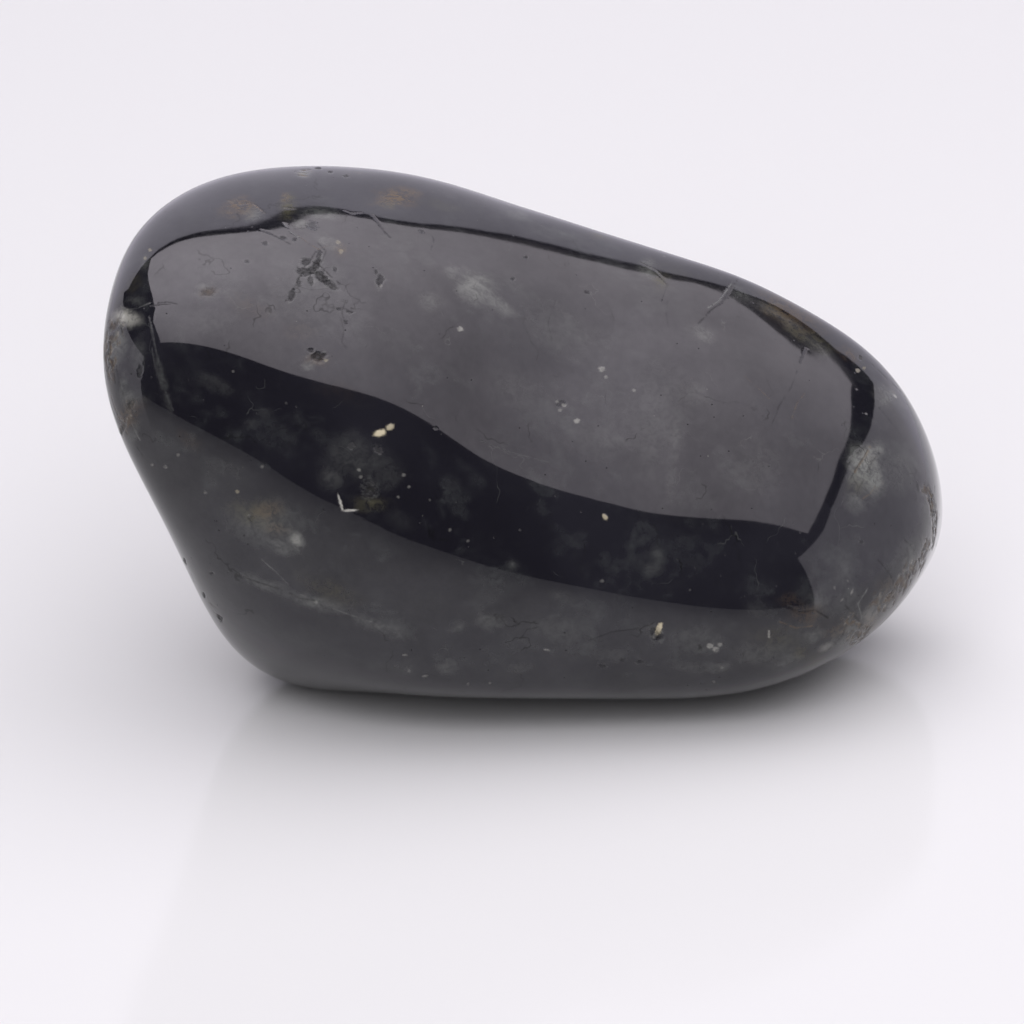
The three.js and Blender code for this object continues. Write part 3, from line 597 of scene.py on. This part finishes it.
P = MIDDLE + radius(U)[:, None] * U
fn = np.cross(P[T[:, 1]] - P[T[:, 0]], P[T[:, 2]] - P[T[:, 0]])
N = np.zeros_like(P)
for k in range(3):
    np.add.at(N, T[:, k], fn)
N = unit(N)

# =====================================================================================
# Relief and masks
# =====================================================================================
COLOURS = ('pale', 'olive', 'rust', 'white', 'cream', 'dark', 'tone', 'cloud')
mask = {c: np.zeros(len(P)) for c in COLOURS}
rough = np.zeros(len(P))
relief = np.zeros(len(P))

def lay(name, near, value):
    mask[name][near] = np.maximum(mask[name][near], value)

wob = fbm(P, 1.1, 2, 5)          # uneven edges of the larger marks
wob2 = fbm(P, 5.0, 3, 9)         # and of the smaller ones
grain = fbm(P, 3.2, 5, 21)
fine = fbm(P, 9.0, 3, 31)

# the body's own clouding: broad tone, drifting wisps and threads
mask['tone'] = smooth(-0.5, 0.6, fbm(P, 0.14, 3, 71))
soft = fbm(P, 0.9, 2, 13)
drift = P * [1.0, 0.7, 1.25] + 0.9 * np.c_[wob, soft, -wob]
wisp = fbm(drift, 0.36, 3, 83, 0.62)
thread = 1 - np.abs(fbm(drift, 0.28, 3, 97, 0.6)) * 2.4
mask['cloud'] = np.clip(0.55 * smooth(0.05, 0.9, wisp) + 0.45 * smooth(0.62, 1.0, thread) * smooth(-0.3, 0.5, wisp), 0, 1)

for s, name, strength in patches:
    near, q = s.q(P, 2.6)
    small = min(s.rx, s.ry)
    edge = fbm(P[near], min(9.0 / small, 2.2), 2, 41)
    q = q + 0.34 * edge + 0.25 * wob[near]
    v = smooth(1.25, 0.2, q) * strength
    lay(name, near, v * np.clip(0.85 + 0.5 * edge, 0, 1.2))

for s, depth, darkness in pits:
    near, q = s.q(P, 2.4)
    small = min(s.rx, s.ry)
    q = q + (0.42 * wob2[near] + 0.16 * fine[near]) * min(1.0, 4.0 / small + 0.5)
    bowl = smooth(1.12, 0.62, q)
    rim = np.exp(-((q - 1.16) / 0.14) ** 2)
    relief[near] -= 0.7 * depth * bowl * (0.75 + 0.5 * np.clip(grain[near] + 0.5, 0, 1))
    lay('dark', near, bowl * darkness * (0.45 + 0.55 * smooth(-0.25, 0.3, wob2[near] + 0.7 * fine[near])))
    lay('pale', near, np.maximum(rim * 0.30, bowl * 0.35 * smooth(0.1, 0.4, fine[near])) * darkness)
    rough[near] = np.maximum(rough[near], bowl * 0.8)

for s, strength, depth in roughs:
    near, q = s.q(P, 2.0)
    q = q + 0.35 * wob[near] + 0.25 * wob2[near]
    v = smooth(1.1, 0.7, q) * strength
    broken = smooth(-0.25, 0.35, wob2[near] + 0.6 * grain[near])
    flecks = smooth(-0.15, 0.35, 0.7 * wob2[near] + 0.8 * grain[near] + 0.9 * (v - 0.55))
    v = v * flecks
    rough[near] = np.maximum(rough[near], v)
    relief[near] -= 0.5 * depth * v * (0.35 + 1.0 * broken + 0.3 * np.abs(fine[near]))
    lay('rust', near, v * 0.8 * smooth(-0.1, 0.4, grain[near]))
    lay('pale', near, v * 0.95 * smooth(-0.1, 0.4, -grain[near]))
    lay('white', near, v * 0.5 * smooth(0.25, 0.5, fine[near]))
    lay('dark', near, v * 0.7 * smooth(0.35, 0.7, broken * 0.5 - wob2[near]))

for line, w, depth, name, strength in cracks:
    near, d = to_line(P, line, w * 3.2)
    d = d * (1 + 0.5 * wob2[near])
    groove = np.exp(-(d / w) ** 2)
    gaps = smooth(-0.75, -0.25, wob[near] + 0.7 * grain[near])
    relief[near] -= depth * groove * gaps
    lay(name, near, groove * strength * gaps)
    rough[near] = np.maximum(rough[near], groove * 0.5 * gaps)

for s, name, strength, height in specks:
    near, q = s.q(P, 2.2)
    q = q + 0.22 * fine[near]
    v = smooth(1.25, 0.75, q)
    relief[near] += height * v
    lay(name, near, v * strength * min(1.0, 0.05 + 0.16 * max(s.rx, s.ry)))
    rough[near] = np.maximum(rough[near], v * 0.3)

# tumbling leaves the polish very slightly uneven
relief += ripple(U)
relief += 0.0010 * fbm(P, 0.30, 2, 51) + 0.00022 * fbm(P, 1.5, 2, 61)

P = P + N * relief[:, None]
P[:, 2] = np.maximum(P[:, 2], 0.0)
P = P - SHIFT

mesh = bpy.data.meshes.new('polished_stone')
mesh.from_pydata((P * 0.001).tolist(), [], T.tolist())
mesh.update()
mesh.polygons.foreach_set('use_smooth', np.ones(len(T), bool))
for name in COLOURS:
    at = mesh.attributes.new('m_' + name, 'FLOAT', 'POINT')
    at.data.foreach_set('value', np.clip(mask[name], 0, 1).astype(np.float32))
at = mesh.attributes.new('m_rough', 'FLOAT', 'POINT')
at.data.foreach_set('value', np.clip(rough, 0, 1).astype(np.float32))
mesh.validate()
stone = bpy.data.objects.new('polished_stone', mesh)
bpy.context.scene.collection.objects.link(stone)

# =====================================================================================
# The stone's material
# =====================================================================================
mat = bpy.data.materials.new('polished_dark_feldspar')
mat.use_nodes = True
nt = mat.node_tree
nt.nodes.clear()
L = nt.links.new
def node(kind, **kw):
    n = nt.nodes.new(kind)
    for k, v in kw.items():
        setattr(n, k, v)
    return n
def val(sock, v):
    if isinstance(v, bpy.types.NodeSocket):
        L(v, sock)
    else:
        sock.default_value = v
def math_(op, a, b=0.0, clamp=False):
    n = node('ShaderNodeMath', operation=op, use_clamp=clamp)
    val(n.inputs[0], a)
    val(n.inputs[1], b)
    return n.outputs[0]
def ramp(x, lo, hi, a=0.0, b=1.0):
    n = node('ShaderNodeMapRange', interpolation_type='SMOOTHSTEP')
    val(n.inputs[0], x)
    for i, v in zip((1, 2, 3, 4), (lo, hi, a, b)):
        n.inputs[i].default_value = v
    return n.outputs[0]
def mix(fac, a, b):
    n = node('ShaderNodeMix', data_type='RGBA')
    val(n.inputs[0], fac)
    val(n.inputs[6], a if isinstance(a, bpy.types.NodeSocket) else (*a, 1))
    val(n.inputs[7], b if isinstance(b, bpy.types.NodeSocket) else (*b, 1))
    return n.outputs[2]
def attr(name):
    return node('ShaderNodeAttribute', attribute_type='GEOMETRY', attribute_name=name).outputs['Fac']

coord = node('ShaderNodeTexCoord')
mm = node('ShaderNodeVectorMath', operation='SCALE')
L(coord.outputs['Object'], mm.inputs[0])
mm.inputs['Scale'].default_value = 1000.0
MM = mm.outputs[0]
def tex(scale, detail=5.0, rough_=0.55, distort=0.0, stretch=None):
    v = MM
    if stretch:
        s = node('ShaderNodeMapping')
        L(MM, s.inputs[0])
        s.inputs['Rotation'].default_value = stretch[0]
        s.inputs['Scale'].default_value = stretch[1]
        v = s.outputs[0]
    n = node('ShaderNodeTexNoise', noise_dimensions='3D')
    L(v, n.inputs['Vector'])
    n.inputs['Scale'].default_value = scale
    n.inputs['Detail'].default_value = detail
    n.inputs['Roughness'].default_value = rough_
    n.inputs['Distortion'].default_value = distort
    return n.outputs[0]
def cells(scale, jitter=1.0):
    n = node('ShaderNodeTexVoronoi', voronoi_dimensions='3D', feature='F1')
    L(MM, n.inputs['Vector'])
    n.inputs['Scale'].default_value = scale
    n.inputs['Randomness'].default_value = jitter
    return n.outputs['Distance'], n.outputs['Color']

mottle = tex(4.5, 4, 0.7)
grit = tex(22.0, 2, 0.6)

blotch = tex(2.6, 5, 0.72, 0.5)

colour = mix(attr('m_tone'), (0.0066, 0.0062, 0.0095), (0.0118, 0.0114, 0.016))
colour = mix(math_('MULTIPLY', math_('MULTIPLY', attr('m_cloud'), ramp(mottle, 0.30, 0.70, 0.45, 1.0)), 0.28), colour, (0.085, 0.092, 0.090))
colour = mix(math_('MULTIPLY', attr('m_pale'), ramp(blotch, 0.32, 0.66, 0.32, 1.0)), colour, (0.165, 0.17, 0.16))
colour = mix(math_('MULTIPLY', attr('m_olive'), ramp(blotch, 0.36, 0.60, 0.2, 1.0)), colour, (0.075, 0.070, 0.045))
colour = mix(math_('MULTIPLY', attr('m_rust'), ramp(blotch, 0.38, 0.56, 0.12, 1.0)), colour, (0.112, 0.076, 0.044))
colour = mix(math_('MULTIPLY', attr('m_white'), ramp(blotch, 0.32, 0.58, 0.35, 1.0)), colour, (0.40, 0.39, 0.36))
colour = mix(attr('m_cream'), colour, (0.50, 0.44, 0.31))
dist, rnd = cells(1.15)
seps = node('ShaderNodeSeparateColor')
L(rnd, seps.inputs[0])
speck = math_('MULTIPLY', ramp(math_('ADD', dist, math_('MULTIPLY', mottle, 0.05)), 0.070, 0.045), ramp(seps.outputs[0], 0.92, 0.94))
colour = mix(math_('MULTIPLY', speck, 0.35), colour, (0.26, 0.26, 0.23))
pdist, prnd = cells(1.9)
psep = node('ShaderNodeSeparateColor')
L(prnd, psep.inputs[0])
prick = math_('MULTIPLY', ramp(pdist, 0.10, 0.05), ramp(psep.outputs[1], 0.72, 0.76))
colour = mix(math_('MULTIPLY', prick, 0.7), colour, (0.004, 0.004, 0.004))

# hairlines: broken seams through the stone, some dark and some pale
warp = node('ShaderNodeVectorMath', operation='SCALE')
wn = node('ShaderNodeTexNoise', noise_dimensions='3D')
L(MM, wn.inputs['Vector'])
wn.inputs['Scale'].default_value = 0.55
wn.inputs['Detail'].default_value = 3.0
L(wn.outputs['Color'], warp.inputs[0])
warp.inputs['Scale'].default_value = 2.4
add = node('ShaderNodeVectorMath', operation='ADD')
L(MM, add.inputs[0])
L(warp.outputs[0], add.inputs[1])
def hairline(scale, width, seed, lo, hi):
    off = node('ShaderNodeVectorMath', operation='ADD')
    L(add.outputs[0], off.inputs[0])
    off.inputs[1].default_value = (seed, seed * 1.7, -seed)
    v = node('ShaderNodeTexVoronoi', voronoi_dimensions='3D', feature='DISTANCE_TO_EDGE')
    L(off.outputs[0], v.inputs['Vector'])
    v.inputs['Scale'].default_value = scale
    line = ramp(v.outputs['Distance'], width, width * 0.25)
    g = node('ShaderNodeTexNoise', noise_dimensions='3D')
    L(off.outputs[0], g.inputs['Vector'])
    g.inputs['Scale'].default_value = 0.42
    g.inputs['Detail'].default_value = 3.0
    return math_('MULTIPLY', line, ramp(g.outputs[0], lo, hi))
seam_dark = hairline(0.20, 0.0075, 3.1, 0.54, 0.62)
seam_pale = hairline(0.26, 0.0060, 11.3, 0.57, 0.66)
colour = mix(math_('MULTIPLY', seam_pale, 0.22), colour, (0.11, 0.115, 0.105))
colour = mix(math_('MULTIPLY', seam_dark, 0.6), colour, (0.005, 0.005, 0.005))
colour = mix(math_('MULTIPLY', attr('m_dark'), 0.85), colour, (0.0045, 0.0042, 0.0040))

roughness = math_('MULTIPLY_ADD', attr('m_rough'), 0.5)
roughness.node.inputs[2].default_value = 0.038
roughness = math_('ADD', roughness, math_('MULTIPLY', prick, 0.25))
roughness = math_('ADD', roughness, ramp(mottle, 0.45, 0.8, 0.0, 0.03), clamp=True)

# the polish is a little uneven, and gone inside pits and seams
sheen = math_('MULTIPLY', ramp(tex(0.33, 4, 0.6), 0.3, 0.7, 0.89, 1.08), ramp(blotch, 0.25, 0.75, 0.93, 1.06))
stain = math_('MULTIPLY', math_('MAXIMUM', attr('m_rust'), attr('m_olive')), ramp(blotch, 0.38, 0.58, 0.15, 0.62))
lost = math_('MAXIMUM', math_('MAXIMUM', stain, math_('MULTIPLY', attr('m_dark'), 0.75)), math_('MAXIMUM', math_('MULTIPLY', seam_dark, 0.35), math_('MULTIPLY', prick, 0.6)))
sheen = math_('MULTIPLY', math_('MULTIPLY', sheen, math_('SUBTRACT', 1.0, lost)), 0.5)

height = math_('MULTIPLY', attr('m_rough'), math_('SUBTRACT', grit, 0.5))
height = math_('MULTIPLY', height, 0.03)
height = math_('SUBTRACT', height, math_('MULTIPLY', prick, 0.012))
bump = node('ShaderNodeBump')
bump.inputs['Strength'].default_value = 1.0
bump.inputs['Distance'].default_value = 0.001
L(height, bump.inputs['Height'])

shader = node('ShaderNodeBsdfPrincipled')
L(colour, shader.inputs['Base Color'])
L(roughness, shader.inputs['Roughness'])
L(bump.outputs[0], shader.inputs['Normal'])
L(sheen, shader.inputs['Specular IOR Level'])
shader.inputs['Metallic'].default_value = 0.0
shader.inputs['IOR'].default_value = 1.56
out = node('ShaderNodeOutputMaterial')
L(shader.outputs[0], out.inputs[0])
mesh.materials.append(mat)

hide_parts('stone')
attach(stone, 'root')

# =====================================================================================
# Table, light tent and camera
# =====================================================================================
def pos(v):
    return tuple(((np.asarray(v, float) - SHIFT) * 0.001).tolist())

def sheet(name, corners, material, camera=False, diffuse=False, shadow=False):
    m = bpy.data.meshes.new(name)
    m.from_pydata([pos(c) for c in corners], [], [tuple(range(len(corners)))])
    m.update()
    m.materials.append(material)
    o = bpy.data.objects.new(name, m)
    bpy.context.scene.collection.objects.link(o)
    o.visible_camera = camera
    o.visible_diffuse = diffuse
    o.visible_shadow = shadow
    return o

def glow(name, colour, strength, hot=None):
    m = bpy.data.materials.new(name)
    m.use_nodes = True
    n = m.node_tree.nodes
    n.clear()
    e = n.new('ShaderNodeEmission')
    e.inputs[0].default_value = (*colour, 1)
    e.inputs[1].default_value = strength
    o = n.new('ShaderNodeOutputMaterial')
    m.node_tree.links.new(e.outputs[0], o.inputs[0])
    if hot:
        # brighter round one place, fading towards the edges
        (cx, cy, cz), reach, low = hot
        tc = n.new('ShaderNodeTexCoord')
        d = n.new('ShaderNodeVectorMath')
        d.operation = 'DISTANCE'
        m.node_tree.links.new(tc.outputs['Object'], d.inputs[0])
        d.inputs[1].default_value = pos((cx, cy, cz))
        r = n.new('ShaderNodeMapRange')
        r.interpolation_type = 'SMOOTHSTEP'
        m.node_tree.links.new(d.outputs['Value'], r.inputs[0])
        for i, v in zip((1, 2, 3, 4), (0.0, reach * 0.001, strength, strength * low)):
            r.inputs[i].default_value = v
        m.node_tree.links.new(r.outputs[0], e.inputs[1])
    return m

floor_mat = bpy.data.materials.new('pale_table')
floor_mat.use_nodes = True
fb = floor_mat.node_tree.nodes['Principled BSDF']
fb.inputs['Base Color'].default_value = (0.8, 0.785, 0.812, 1)
fb.inputs['Roughness'].default_value = 0.10
fb.inputs['IOR'].default_value = 1.2
floor = sheet('table', [(-3000, -3000, 0), (3000, -3000, 0), (3000, 3000, 0), (-3000, 3000, 0)], floor_mat, True, True, True)

# what the polish mirrors: a panel overhead, the tent's walls, and its dark open front
H = 420.0
XL, XR, YF, YB = -303.6, 511.6, -482.6, 542.7
WL, HL, WR, HR, FR = -383.8, 205.3, 374.4, 269.2, -337.6
YB2, H2, FF = 407.7, 308.1, 333.9
left_edge = [(-290, YB), (-303, 400), (-280, 229), (-262, 89), (-266, -27), (-318, -128), (-332, -250), (-375, -380), (-395, YF)]
right_edge = [(552, YF), (542, -440), (526, -370), (514, -302), (507, -240), (504, -150), (508, -60), (508, 63), (516, 140), (522, 240), (524, 400), (520, 480), (512, YB)]
sheet('panel_top', [(a, b, H) for a, b in left_edge + right_edge], glow('panel', (1.0, 0.93, 1.01), 2.75, ((-120, 60, 420), 620, 0.5)))
back_top = [(WR, 240), (360, 258), (340, 278), (312, 300), (290, 300), (264, 296), (240, 306), (WL - 60, H2)]
sheet('wall_back', [(WL - 60, YB2, 0), (WR, YB2, 0)] + [(a, YB2, b) for a, b in back_top], glow('wall_b', (0.985, 0.94, 1.08), 0.95))
sheet('strip', [(60, YB, 409), (WR + 160, YB, 409), (WR + 160, YB, H), (60, YB, H)], glow('strip', (1.0, 0.93, 0.96), 0.13))
right_top = [(YB2, 240), (350, 247), (257, 259), (199, 268), (140, 278), (87, 286), (-6, 290), (-125, 287), (-160, 279), (-197, 270), (-283, 259), (FR, 250)]
sheet('wall_right', [(WR, FR, 0), (WR, YB2, 0)] + [(WR, a, b) for a, b in right_top], glow('wall_r', (1.0, 0.95, 1.05), 0.95))
sheet('wall_left', [(WL, -250.0, 0), (WL, YB2, 0), (WL, YB2, HL), (WL, -250.0, HL)], glow('wall_l', (1.0, 0.95, 1.05), 1.0))
sheet('dark_front', [(-2500, -FF, 0.2), (2500, -FF, 0.2), (2500, -FF - 40, 900), (-2500, -FF - 40, 900)], glow('dark', (1.0, 0.95, 1.18), 0.078))

key = bpy.data.lights.new('key', 'AREA')
key.shape = 'RECTANGLE'
key.size, key.size_y = (XR - XL) * 0.001, (YB - YF) * 0.001
key.energy = 3.7
key.color = (1.0, 0.985, 1.0)
ko = bpy.data.objects.new('key', key)
bpy.context.scene.collection.objects.link(ko)
ko.location = pos(((XL + XR) / 2, (YF + YB) / 2 - 90, H))
ko.visible_glossy = False
ko.visible_camera = False

fill = bpy.data.lights.new('fill', 'AREA')
fill.shape = 'RECTANGLE'
fill.size, fill.size_y = 0.95, 0.70
fill.energy = 6.0
fo = bpy.data.objects.new('fill', fill)
bpy.context.scene.collection.objects.link(fo)
fo.location = pos((-70, -900, 660))
fo.rotation_euler = (math.radians(54), 0, math.atan2(-70, 900))
fo.visible_glossy = False
fo.visible_camera = False

world = bpy.data.worlds.new('studio')
bpy.context.scene.world = world
world.use_nodes = True
bg = world.node_tree.nodes['Background']
bg.inputs[0].default_value = (0.985, 0.972, 1.0, 1)
bg.inputs[1].default_value = 0.09
world.cycles_visibility.glossy = False

cam = bpy.data.cameras.new('camera')
cam.sensor_fit = 'HORIZONTAL'
cam.sensor_width = 36.0
cam.lens = FOCAL_PX / 1024 * 36.0
cam.clip_start, cam.clip_end = 0.01, 20
camera = bpy.data.objects.new('camera', cam)
bpy.context.scene.collection.objects.link(camera)
camera.location = pos(EYE)
camera.rotation_euler = (math.pi / 2 - ELEV, 0, 0)
bpy.context.scene.camera = camera
bpy.context.scene.view_settings.view_transform = 'Standard'
bpy.context.scene.view_settings.look = 'None'
